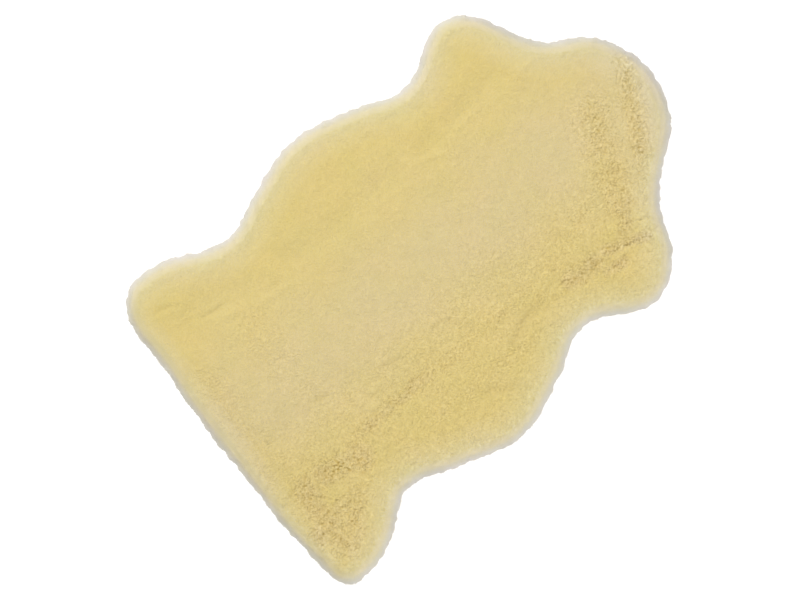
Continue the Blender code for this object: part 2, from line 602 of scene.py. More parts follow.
CURLY_PATCHES = (
    CurlyPatch("neck_lobe", (-0.055, 0.425), (0.063, 0.357), 0.026, 0.74),
    CurlyPatch("right_neck", (0.063, 0.357), (0.110, 0.320), 0.022, 0.60),
    CurlyPatch("withers", (-0.025, 0.335), (0.110, 0.275), 0.042, 0.70),
    CurlyPatch("shoulder_blade", (0.105, 0.290), (0.150, 0.250), 0.024, 0.66),
    CurlyPatch("elbow_furrow", (0.148, 0.212), (0.172, 0.278), 0.016, 0.80),
    CurlyPatch("elbow_low", (0.176, 0.196), (0.181, 0.224), 0.016, 0.76),
    CurlyPatch("elbow", (0.152, 0.190), (0.148, 0.140), 0.026, 0.80),
    CurlyPatch("ribs", (0.075, 0.240), (0.135, 0.080), 0.035, 0.50),
    CurlyPatch("side", (0.120, 0.090), (0.120, -0.120), 0.025, 0.55),
    CurlyPatch("flank", (0.180, 0.050), (0.175, -0.160), 0.032, 0.50),
    CurlyPatch("loin_crease", (0.120, -0.120), (0.121, -0.265), 0.020, 0.68),
    CurlyPatch("haunch", (0.148, -0.285), (0.134, -0.345), 0.034, 0.84),
    CurlyPatch("haunch_side", (0.190, -0.325), (0.245, -0.390), 0.034, 0.68),
    CurlyPatch("thigh", (0.130, -0.385), (0.235, -0.395), 0.036, 0.76),
    CurlyPatch("rump_corner", (0.190, -0.350), (0.206, -0.418), 0.030, 0.76),
    CurlyPatch("rump", (-0.090, -0.395), (0.075, -0.385), 0.035, 0.40),
    CurlyPatch("croup", (-0.110, -0.290), (0.060, -0.280), 0.045, 0.30),
)


@dataclass
class Nap:
    """How the wool lies: how curly it is, and how pale."""

    patches: tuple[CurlyPatch, ...] = CURLY_PATCHES
    # How curly it is on the left and on the right, and the stretch of x where that changes.
    sides: tuple[float, float] = (0.10, 0.36)
    turn: tuple[float, float] = (-0.02, 0.09)
    curl_grain: float = 0.026
    bleach_grain: float = 0.070
    # How much that grain changes the curl and the paleness.
    unevenness: float = 0.25
    # The curl fades in between these distances from the rim line.
    calm_rim: tuple[float, float] = (0.002, 0.014)
    # Along the straight cut of the rump the wool counts as this much further in, so its pale rim
    # is narrower there. The cut is where the way out points to the rump by these shares.
    cut_rump: float = 0.35
    rumpward: tuple[float, float] = (0.6, 1.0)
    # The middle and the half width, along x, of the paler wool of the back.
    pale_back: tuple[float, float] = (-0.01, 0.105)
    bleach_rim: float = 0.040
    # Curly wool is paler too, from the first of these curls on and in full from the second.
    pale_curl: tuple[float, float] = (0.4, 0.9)

    def curl(self, places: Array, inset: Array) -> Array:
        """Works out how curly the wool is.

        Args:
            places: Where it grows.
            inset: How far inside the rim line each place is.

        Returns:
            The curl at each place, from 0 for velvet to 1.
        """
        found = between(self.sides, eased(places[:, 0], self.turn))
        for patch in self.patches:
            found = np.maximum(found, patch.share(places))
        grain = noise_at(places[:, :2], self.curl_grain, Layer.CURL)
        found = found * (1.0 + self.unevenness * grain)
        return np.clip(found, 0.0, 1.0) * eased(inset, self.calm_rim)

    def bleach(self, roots: Roots) -> Array:
        """Works out how much the sun has paled the wool, which it does along the back.

        Args:
            roots: Where the wool grows.

        Returns:
            The paling at each root, from 0 to 1.
        """
        away = (roots.place[:, 0] - self.pale_back[0]) / self.pale_back[1]
        grain = noise_at(roots.place[:, :2], self.bleach_grain, Layer.BLEACH)
        found = np.exp(-(away**2)) + self.unevenness * grain
        curly = eased(self.curl(roots.place, roots.inset), self.pale_curl)
        return np.clip(np.maximum(found, curly), 0.0, 1.0) * smooth_step(roots.inset / self.bleach_rim)

    def warmth_inset(self, roots: Roots) -> Array:
        """Returns how far from the rim each root counts as for its colour."""
        rumpward = eased(-roots.outward[:, 1], self.rumpward)
        return np.maximum(roots.inset, 0.0) * (1.0 + self.cut_rump * rumpward)


class CreaseKind(Enum):
    """The kinds of crease in the wool, as depth and half width. A swell's depth is negative."""

    CUT = (0.0013, 0.0015)
    DENT = (0.0013, 0.0042)
    HOLLOW = (0.0022, 0.0070)
    SWELL = (-0.0013, 0.0055)


@dataclass(frozen=True)
class Crease:
    """A soft trough or ridge in the wool, as a bent line that starts and ends shallow."""

    name: str
    kind: CreaseKind
    course: tuple[tuple[float, float], ...]
    # A trough has banks, this share of its depth high, this far off and this wide in half widths.
    bank: float = 0.25
    bank_place: float = 2.2
    bank_width: float = 1.2
    # The depth of its ends, as a share.
    shallow: float = 0.2

    def rise(self, places: Array) -> Array:
        """Works out how much the crease lifts the wool.

        Args:
            places: Points, as rows of x and y.

        Returns:
            The lift at each place. It is negative in a trough.
        """
        depth, width = self.kind.value
        points = np.array(self.course)
        passed = passed_along(points)
        runs = np.diff(points, axis=0)
        spans = np.linalg.norm(runs, axis=1)
        away = np.full(len(places), np.inf)
        gone = np.zeros(len(places))
        for start, run, span, before in zip(points, runs, spans, passed):
            share = np.clip((places - start) @ run / span**2, 0.0, 1.0)
            distance = np.linalg.norm(places - start - share[:, None] * run, axis=1)
            nearer = distance < away
            away = np.where(nearer, distance, away)
            gone = np.where(nearer, before + share * span, gone)
        middle = np.sin(math.pi * np.clip(gone / passed[-1], 0.0, 1.0))
        trough = -depth * np.exp(-((away / width) ** 2))
        beside = (away - self.bank_place * width) / (self.bank_width * width)
        banks = self.bank * max(depth, 0.0) * np.exp(-(beside**2))
        return (trough + banks) * between((self.shallow, 1.0), middle**0.5)


# The kinds' own names, for the list below.
CUT, DENT, HOLLOW, SWELL = CreaseKind

CREASES = (
    Crease("elbow_deep", CUT, ((0.149, 0.210), (0.158, 0.225), (0.162, 0.242), (0.175, 0.282))),
    Crease("elbow_second", CUT, ((0.175, 0.194), (0.178, 0.208), (0.180, 0.227))),
    Crease("elbow_upper", CUT, ((0.130, 0.255), (0.143, 0.278), (0.153, 0.302))),
    Crease("shoulder_line", CUT, ((0.143, 0.113), (0.143, 0.132), (0.152, 0.155), (0.155, 0.189))),
    Crease("shoulder_hollow", HOLLOW, ((0.172, 0.001), (0.158, 0.027), (0.148, 0.058), (0.145, 0.093))),
    Crease("side_dent", DENT, ((0.065, -0.073), (0.069, -0.053), (0.078, -0.036))),
    Crease("flank_hollow", HOLLOW, ((0.189, -0.088), (0.210, -0.051), (0.238, -0.013))),
    Crease("haunch_deep", CUT, ((0.129, -0.383), (0.129, -0.354), (0.137, -0.306), (0.147, -0.292))),
    Crease("haunch_low", DENT, ((0.167, -0.297), (0.184, -0.296), (0.197, -0.302))),
    Crease("thigh_upper", CUT, ((0.142, -0.388), (0.158, -0.375), (0.174, -0.361), (0.188, -0.349))),
    Crease("thigh_lower", CUT, ((0.208, -0.421), (0.204, -0.405), (0.208, -0.388), (0.222, -0.369))),
    Crease("hind_corner", CUT, ((0.227, -0.396), (0.244, -0.394), (0.247, -0.384))),
    Crease("left_haunch_low", DENT, ((-0.226, -0.395), (-0.226, -0.379), (-0.220, -0.359))),
    Crease("left_haunch_high", DENT, ((-0.176, -0.339), (-0.171, -0.315), (-0.168, -0.287))),
    Crease("left_haunch_swell", SWELL, ((-0.156, -0.329), (-0.155, -0.306), (-0.151, -0.282))),
    Crease("left_loin_swell", SWELL, ((-0.141, -0.267), (-0.132, -0.233), (-0.129, -0.193))),
    Crease("rump_dent", DENT, ((0.033, -0.294), (0.040, -0.276), (0.045, -0.260))),
    Crease("rump_swell", SWELL, ((0.110, -0.421), (0.109, -0.392), (0.112, -0.360))),
    Crease("back_dent", DENT, ((0.066, -0.179), (0.067, -0.156), (0.072, -0.135))),
    Crease("belly_swell", SWELL, ((0.124, -0.148), (0.121, -0.133), (0.117, -0.116))),
    Crease("shoulder_swell", SWELL, ((0.117, 0.082), (0.119, 0.103), (0.121, 0.123))),
    Crease("armpit_swell", SWELL, ((0.091, 0.265), (0.104, 0.292), (0.116, 0.330))),
    Crease("left_back_swell", SWELL, ((-0.140, 0.137), (-0.147, 0.165), (-0.152, 0.208))),
    Crease("left_side_swell", SWELL, ((-0.146, 0.076), (-0.139, 0.099), (-0.129, 0.123))),
    Crease("left_shoulder_swell", SWELL, ((-0.153, 0.299), (-0.151, 0.325))),
    Crease("neck_furrow", CUT, ((0.014, 0.397), (0.016, 0.380), (0.022, 0.366))),
    Crease("neck_furrow_2", CUT, ((0.034, 0.388), (0.036, 0.372), (0.044, 0.356))),
    Crease("nape", CUT, ((-0.060, 0.423), (-0.052, 0.406), (-0.040, 0.394))),
)


@dataclass
class Relief:
    """The wool's uneven top: the pelt's folds, the staples' rounded tops and the creases."""

    pelt: Pelt
    nap: Nap
    staples: "Staples"
    cell: float = 0.0011
    # How high the staples' tops stand over the creases between them, in velvet and in curly wool.
    lump: tuple[float, float] = (0.00045, 0.0066)
    # The height grows with this power of the curl.
    lump_growth: float = 1.5
    # The part of a staple's height that lies below the level of the pelt's own top.
    lump_level: float = 0.72
    # The greater this is, the narrower the creases are.
    fullness: float = 2.2
    blur: float = 0.0006
    # How much of the larger creases' depth darkens the wool in them, as painted shade.
    crease_shade: float = 0.24
    # It fades in between these distances from the rim line.
    fade: tuple[float, float] = (0.003, 0.014)
    # Soft streaks run along the back, this high, this wide and this many times longer.
    streak: tuple[float, float] = (0.00030, 0.00090)
    streak_width: float = 0.0085
    streak_length: float = 2.8
    # Curly wool knots into clumps of this size, with narrow furrows this deep between them.
    knot_size: float = 0.0068
    furrow: float = 0.0014
    # The lower this is, the narrower the furrows are.
    furrow_gap: float = 0.20
    # The curl where the knots begin, and where they are full.
    knotty: tuple[float, float] = (0.36, 0.85)
    creases: tuple[Crease, ...] = CREASES

    def __post_init__(self) -> None:
        """Works out the wool's height, and how deep in a crease each place is, from 0 to 1, which sets
        the painted shade there.
        """
        low = self.pelt.height.low
        size = np.array(self.pelt.height.values.shape) * self.pelt.height.cell
        shape = np.floor(size / self.cell).astype(int)
        places = Raster(low, self.cell, np.zeros(shape)).places()
        level = self.pelt.height.at(places)
        inset = self.pelt.inset.at(places)
        shown = eased(inset, self.fade)
        curl = self.nap.curl(places, inset)
        dome = np.ones(len(places))
        inner = np.flatnonzero(shown > 0.0)
        tops = np.column_stack([places, level])[inner]
        edges = np.array([self.staples.clearance(place) for place in tops])
        dome[inner] = 1.0 - (1.0 - edges) ** self.fullness
        amount = between(self.lump, curl**self.lump_growth)
        creased = sum(crease.rise(places) for crease in self.creases)
        drawn = noise_at(places / (1.0, self.streak_length), self.streak_width, Layer.STREAK)
        creased += drawn * between(self.streak, curl)
        knots = np.abs(noise_at(places, self.knot_size, Layer.KNOT)) / self.furrow_gap
        furrow = self.furrow * eased(curl, self.knotty) * (1.0 - smooth_step(knots))
        rise = ((dome - self.lump_level) * amount + creased - furrow) * shown
        # How deep each place lies below its staple's top, in creases and in furrows: this sets the
        # painted shade.
        gap = (1.0 - dome) * amount - self.crease_shade * creased + furrow
        deep = np.clip(gap * shown / self.lump[1], 0.0, 1.0)
        self.top = Raster(low, self.cell, rise.reshape(shape)).blurred(self.blur)
        self.top.values = self.top.values + level.reshape(shape)
        self.hollow = Raster(low, self.cell, deep.reshape(shape)).blurred(self.blur)


# --- The locks --------------------------------------------------------------------------------


@dataclass(frozen=True)
class LockShape:
    """The sizes of one kind of lock. Pairs are for velvet and for curly wool, in metres."""

    # How far below the wool's surface its root is.
    depth: tuple[float, float]
    # The least and the greatest half width of its root.
    radius: tuple[float, float]
    # How far its tip lies from over its root, along its staple and out to the rim.
    lay: tuple[float, float]
    # Each ring's place along the lock, and its width as a share of the root's.
    rings: tuple[tuple[float, float], ...] = ((0.0, 1.0),)
    # Its thickness as a share of its half width.
    ridge: float = 0.35
    bow: float = 0.0
    # How far it leans at random.
    jitter: float = 0.0007
    # It stops up to this far short of the surface.
    cut: float = 0.0003
    # It sticks out this far past the surface where that faces the rim.
    reach: float = 0.0


PILE = LockShape((0.0008, 0.0014), (0.00065, 0.00105), (0.0034, 0.0028))
RIM_PILE = LockShape((0.0011, 0.0014), (0.00060, 0.00095), (0.0032, 0.0028), reach=0.0026)
WISP = LockShape(
    (0.0030, 0.0030),
    (0.00035, 0.00055),
    (0.0034, 0.0034),
    rings=((0.0, 1.0), (0.60, 0.75)),
    bow=0.0008,
    jitter=0.0016,
    cut=0.0,
    reach=0.0046,
)


@dataclass
class Staples:
    """The small clumps that the wool gathers into, each along a line that bends where it curls."""

    roots: Roots
    curl: Array
    chance: np.random.Generator
    # The tips of its locks lie this much nearer to its middle line than their roots do.
    gather: tuple[float, float] = (0.04, 0.35)
    # How much staples differ in height, and how far they lean.
    rise: tuple[float, float] = (0.00010, 0.00040)
    lean: tuple[float, float] = (0.0002, 0.0010)
    # The least of that lean that a staple has, as a share.
    least_lean: float = 0.3
    # The line's length, its turn in radians where the wool is curliest, and its number of points.
    length: float = 0.0046
    turn: float = 3.4
    bends: int = 6
    # How far lines turn away from the rug's long axis, in velvet and in curly wool, in radians.
    stray: tuple[float, float] = (0.70, 1.10)

    def __post_init__(self) -> None:
        """Gives each staple its own line, height, lean and shade."""
        count = len(self.roots.place)
        self.spine, self.course = self._lines(count)
        self.tree = tree_of(self.spine)
        self.own_rise = self.chance.normal(0.0, 1.0, count) * between(self.rise, self.curl)
        heading = self.chance.uniform(0.0, 2 * math.pi, count)
        turned = np.column_stack([np.cos(heading), np.sin(heading), np.zeros(count)])
        share = self.chance.uniform(self.least_lean, 1.0, count)
        self.own_lean = turned * (between(self.lean, self.curl) * share)[:, None]
        self.shade = self.chance.uniform(0.0, 1.0, count)

    def _lines(self, count: int) -> tuple[Array, Array]:
        """Lays out every staple's line.

        Args:
            count: How many staples there are.

        Returns:
            The points of all lines, and which way the line runs at each.
        """
        stray = self.chance.normal(0.0, 1.0, count) * between(self.stray, self.curl)
        heading = math.pi / 2 + stray
        turn = self.turn * self.curl * self.chance.choice((-1.0, 1.0), count)
        angle = heading[:, None] + turn[:, None] * np.linspace(-0.5, 0.5, self.bends)
        steps = np.stack([np.cos(angle), np.sin(angle), np.zeros_like(angle)], -1)
        steps = unit(flattened(steps, self.roots.normal[:, None]))
        line = np.cumsum(steps, axis=1) * self.length / self.bends
        line -= line.mean(1, keepdims=True)
        return (self.roots.place[:, None] + line).reshape(-1, 3), steps.reshape(-1, 3)

    def nearest(self, places: Array) -> Array:
        """Returns the number of the spine point that is nearest to each place."""
        return np.array([self.tree.find(place)[1] for place in places])

    def clearance(self, place: Array) -> float:
        """Measures how clear a place is of the next staple.

        Args:
            place: A point.

        Returns:
            Its clearance, 0 on the border between two staples and 1 on a middle line.
        """
        hits = self.tree.find_n(place, self.bends + 1)
        own = hits[0][1] // self.bends
        other = next(distance for _, i, distance in hits if i // self.bends != own)
        return (other - hits[0][2]) / max(other + hits[0][2], TINY)


@dataclass
class Locks:
    """Many locks of one shape, made as one mesh."""

    name: str
    shape: LockShape
    roots: Roots
    nap: Nap
    relief: Relief
    chance: np.random.Generator
    # The vertex normals lean this much to the fleece's own surface, in velvet and in curly wool,
    # because light goes on through the fine tips of real wool.
    softness: tuple[float, float] = (0.98, 0.70)
    # How far locks stick out at the rim, as shares of their shape's reach: on the average, and
    # how much that changes along the rim, from staple to staple and from lock to lock.
    reach_mean: float = 0.8
    reach_drift: float = 0.6
    reach_staple: float = 0.7
    reach_lock: float = 0.3
    reach_grain: float = 0.022
    # Locks reach past the surface where it faces the rim more than this, in full from the second.
    reach_facing: tuple[float, float] = (0.25, 0.85)
    # The wool lies to the rump, but out to the rim where it faces that more than this.
    turning: float = 0.05
    # Where it faces the rim, this strong a pull outwards is added.
    outward_pull: float = 2.0
    # The least and the greatest share of its shape's lay, and of its bow, that a lock has.
    lays: tuple[float, float] = (0.7, 1.1)
    bows: tuple[float, float] = (0.2, 1.0)
    # How widely its random lean is spread, as a share of its shape's jitter.
    jitter_spread: float = 0.8
    # A lock starts upright and leans with this power of the way along it.
    sweep: float = 1.5
    # A lock's shade is this much its own, and the rest is its staple's.
    own_fleck: float = 0.5
    # A lock's tone at its root; low tones take the root's painted shade.
    root_tone: float = 0.4
    floor_gap: float = 0.0004
    # The border round each lock's cell on the map, as a share of the cell.
    map_margin: float = 0.14

    def build(self) -> bpy.types.Object:
        """Makes the locks' mesh, with its shades and its bake map.

        Returns:
            The piece.
        """
        shape = self.shape
        self.staples = self.relief.staples
        self.curl = self.nap.curl(self.roots.place, self.roots.inset)
        self.spot = self.staples.nearest(self.roots.place)
        self.staple = self.spot // self.staples.bends
        self.facing = np.clip((self.roots.normal * self.roots.outward).sum(-1), 0.0, 1.0)
        depth = between(shape.depth, self.curl)
        self.length = depth + self._rise()
        self.base = self.roots.place - self.roots.normal * depth[:, None]
        self.lean = self._lean()
        bow = shape.bow * self.chance.uniform(*self.bows, self.count)
        self.bow = self.roots.normal * bow[:, None]
        radius = self.chance.uniform(*shape.radius, self.count)[:, None]
        soft = between(self.softness, self.curl)[:, None]
        outer = lifted(self.roots.normal)
        run = unit(self._axis(1.0) - self._axis(0.0))
        side = unit(np.cross(run, UP))
        rings = []
        facings = []
        for along, share in shape.rings:
            for radial in (-side, np.cross(side, run) * shape.ridge, side):
                rings.append(self._axis(along) + radial * radius * share)
                facings.append(unit(radial * (1 - soft) + outer * soft))
        rings.append(self._axis(1.0))
        facings.append(unit(run * (1 - soft) + outer * soft))
        places = np.stack(rings, 1)
        places[..., 2] = np.maximum(places[..., 2], self.floor_gap)
        return self._mesh(places, np.stack(facings, 1))

    @property
    def count(self) -> int:
        """How many locks there are."""
        return len(self.roots.place)

    def _level_jitter(self) -> Array:
        """Returns one random vector for each lock, along the surface that it grows from."""
        drawn = self.chance.normal(0.0, self.jitter_spread, (self.count, 3))
        return flattened(drawn, self.roots.normal)

    def _rise(self) -> Array:
        """Works out where the tips end.

        Returns:
            How far each tip stands past the wool's surface, or below it if negative.
        """
        shape = self.shape
        rise = self.staples.own_rise[self.staple] - self.chance.uniform(0.0, shape.cut, self.count)
        drift = noise_at(self.roots.place, self.reach_grain, Layer.REACH)
        share = self.reach_mean + self.reach_drift * drift
        share += self.reach_staple * (self.staples.shade[self.staple] - 0.5)
        share += self.chance.uniform(-self.reach_lock, self.reach_lock, self.count)
        reach = shape.reach * np.maximum(share, -self.reach_lock)
        return rise + reach * eased(self.facing, self.reach_facing)

    def _lean(self) -> Array:
        """Works out which way the locks lie.

        Returns:
            How far each lock's tip lies from straight above its root.
        """
        own = self.staples
        facing = self.facing[:, None]
        lay = between(self.shape.lay, self.curl[:, None])
        lay = lay * self.chance.uniform(*self.lays, (self.count, 1))
        course = own.course[self.spot]
        outward = (course * self.roots.outward).sum(-1, keepdims=True) * facing > self.turning
        course = np.where(outward, course, -course)
        pull = self.outward_pull * facing * self.roots.outward
        heading = unit(pull + (1.0 - facing) * course)
        gather = between(own.gather, self.curl)
        lean = (own.spine[self.spot] - self.roots.place) * gather[:, None]
        lean += own.own_lean[self.staple] + heading * lay
        return flattened(lean + self._level_jitter() * self.shape.jitter, self.roots.normal)

    def _axis(self, along: float) -> Array:
        """Finds the middle of each lock, some way along it.

        Args:
            along: How far along, from 0 at the root to 1 at the tip.

        Returns:
            The points.
        """
        up = self.roots.normal * self.length[:, None]
        arch = self.bow * math.sin(math.pi * along)
        return self.base + up * along + self.lean * along**self.sweep + arch

    def _mesh(self, places: Array, facings: Array) -> bpy.types.Object:
        """Joins the locks into one piece.

        Args:
            places: Each lock's points, three for each ring and then its tip.
            facings: The normals at them.

        Returns:
            The piece.
        """
        tip = 3 * len(self.shape.rings)
        faces = []
        for low in range(0, tip - 3, 3):
            faces += [(low + k, low + k + 1, low + k + 4) for k in (0, 1)]
            faces += [(low + k, low + k + 4, low + k + 3) for k in (0, 1)]
        faces += [(tip - 3 + k, tip - 2 + k, tip) for k in (0, 1)]
        each = places.shape[1]
        corners = np.array(faces)[None] + (np.arange(self.count) * each)[:, None, None]
        mesh = triangle_mesh(self.name, places.reshape(-1, 3), corners.reshape(-1, 3))
        tone = np.append(np.repeat([self.root_tone + ring[0] for ring in self.shape.rings], 3), 1.0)
        shade = (1.0 - self.own_fleck) * self.staples.shade[self.staple]
        fleck = self.own_fleck * self.chance.uniform(0.0, 1.0, self.count) + shade
        add_values(mesh, "tone", np.tile(tone, self.count))
        dress_wool(mesh, self.roots, self.nap, self.relief, fleck)
        self._bake_map(mesh)
        mesh.normals_split_custom_set_from_vertices(facings.reshape(-1, 3))
        return new_piece(self.name, mesh)

    def _bake_map(self, mesh: bpy.types.Mesh) -> None:
        """Gives each lock a cell of its own on the piece's map, with its root at the bottom.

        Args:
            mesh: The locks' mesh.
        """
        across = math.ceil(math.sqrt(self.count))
        middle = 0.5
        us = np.append(np.tile([0.0, middle, 1.0], len(self.shape.rings)), middle)
        vs = np.append(np.repeat([ring[0] for ring in self.shape.rings], 3), 1.0)
        cell = np.stack([us, vs], -1) * (1 - 2 * self.map_margin) + self.map_margin
        index = np.arange(self.count)
        origin = np.stack([index % across, index // across], -1)
        spots = ((origin[:, None] + cell[None]) / across).reshape(-1, 2)
        corner = np.empty(len(mesh.loops), np.int32)
        mesh.loops.foreach_get("vertex_index", corner)
        add_map(mesh, spots[corner])


# --- Meshes -----------------------------------------------------------------------------------


def triangle_mesh(name: str, places: Array, corners: Array) -> bpy.types.Mesh:
    """Makes a smooth-shaded mesh.

    Args:
        name: The mesh's name.
        places: The vertices, one in each row.
        corners: The triangles, as rows of three vertex numbers.

    Returns:
        The mesh.
    """
    mesh = bpy.data.meshes.new(name)
    mesh.vertices.add(len(places))
    mesh.vertices.foreach_set("co", places.astype(np.float32).ravel())
    mesh.loops.add(corners.size)
    mesh.loops.foreach_set("vertex_index", corners.astype(np.int32).ravel())
    mesh.polygons.add(len(corners))
    mesh.polygons.foreach_set("loop_start", np.arange(0, corners.size, 3, dtype=np.int32))
    mesh.update(calc_edges=True)
    mesh.validate()
    mesh.shade_smooth()
    return mesh


def vertex_normals(places: Array, corners: Array) -> Array:
    """Works out which way a mesh faces.

    Args:
        places: The vertices, one in each row.
        corners: The triangles, as rows of three vertex numbers.

    Returns:
        The normal at each vertex.
    """
    first, second, third = places[corners].transpose(1, 0, 2)
    facing = np.cross(second - first, third - first)
    total = np.zeros_like(places)
    for vertices in corners.T:
        np.add.at(total, vertices, facing)
    return unit(total)


def band(low: int, high: int, around: int) -> Array:
    """Joins two rings of points.

    Args:
        low: The number of the first ring's first point.
        high: The number of the second ring's first point.
        around: How many points each ring has.

    Returns:
        The triangles between them, as rows of three point numbers.
    """
    here = np.arange(around)
    after = (here + 1) % around
    first = np.column_stack([here + low, after + low, after + high])
    second = np.column_stack([here + low, after + high, here + high])
    return np.vstack([first, second])


def filled(places: Array, around: int) -> Array:
    """Fills a ring of points with triangles.

    Args:
        places: The ring's points, anticlockwise, and then the points inside it.
        around: How many points the ring has.

    Returns:
        The triangles, as rows of three point numbers.
    """
    closeness = 1e-7
    flat = [Vector((x, y)) for x, y in places[:, :2]]
    loop = [(i, (i + 1) % around) for i in range(around)]
    found = delaunay_2d_cdt(flat, loop, [], INSIDE_ONLY, closeness)
    triangles, origins = found[2], found[3]
    return np.array([[origins[corner][0] for corner in triangle] for triangle in triangles])


def add_values(mesh: bpy.types.Mesh, name: str, values: Array) -> None:
    """Stores one number for each vertex, which a finish can read."""
    layer = mesh.attributes.new(name, "FLOAT", "POINT")
    layer.data.foreach_set("value", np.asarray(values, np.float32))


def add_map(mesh: bpy.types.Mesh, spots: Array) -> None:
    """Adds the map that the looks are baked on, with a spot for each corner of each triangle."""
    layer = mesh.uv_layers.new(name="OFBake")
    layer.uv.foreach_set("vector", spots.astype(np.float32).ravel())


def dress_wool(mesh: bpy.types.Mesh, roots: Roots, nap: Nap, relief: Relief, fleck: Array) -> None:
    """Stores what the wool's finish reads.

    Args:
        mesh: The mesh, with the same count of vertices for each root, one root after another.
        roots: Where it grows from.
        nap: How the wool lies.
        relief: The wool's uneven top.
        fleck: A shade from 0 to 1 for each root.
    """
    stored = {
        "inset": nap.warmth_inset(roots),
        "curl": nap.curl(roots.place, roots.inset),
        "bleach": nap.bleach(roots),
        "hollow": relief.hollow.at(roots.place),
        "fleck": fleck,
    }
    for name, values in stored.items():
        add_values(mesh, name, np.repeat(values, len(mesh.vertices) // len(roots.place)))


def new_piece(name: str, data: bpy.types.ID) -> bpy.types.Object:
    """Puts a mesh, a light or a camera into the scene.

    Args:
        name: The name of the new object.
        data: What it shows.

    Returns:
        The object.
    """
    piece = bpy.data.objects.new(name, data)
    bpy.context.scene.collection.objects.link(piece)
    return piece


# --- Finishes ---------------------------------------------------------------------------------


@dataclass(frozen=True)
class Field:
    """A shader socket that takes part in sums, so that shader maths reads as plain maths."""

    shader: "Shader"
    socket: bpy.types.NodeSocket

    def __add__(self, other: Number) -> "Field":
        """Adds a number or another field."""
        return self.shader.maths("ADD", self, other)

    def __sub__(self, other: Number) -> "Field":
        """Takes a number or another field away."""
        return self.shader.maths("SUBTRACT", self, other)

    def __rsub__(self, other: Number) -> "Field":
        """Takes this field away from a number."""
        return self.shader.maths("SUBTRACT", other, self)

    def __mul__(self, other: Number) -> "Field":
        """Multiplies by a number or another field."""
        return self.shader.maths("MULTIPLY", self, other)

    def __truediv__(self, other: Number) -> "Field":
        """Divides by a number or another field."""
        return self.shader.maths("DIVIDE", self, other)

    def __rtruediv__(self, other: Number) -> "Field":
        """Divides a number by this field."""
        return self.shader.maths("DIVIDE", other, self)

    __radd__ = __add__
    __rmul__ = __mul__

    def over(self, other: Number) -> "Field":
        """Returns the greater of this field and another."""
        return self.shader.maths("MAXIMUM", self, other)

    def held(self) -> "Field":
        """Keeps the field from 0 to 1."""
        return self.shader.maths("MAXIMUM", self.shader.maths("MINIMUM", self, 1.0), 0.0)


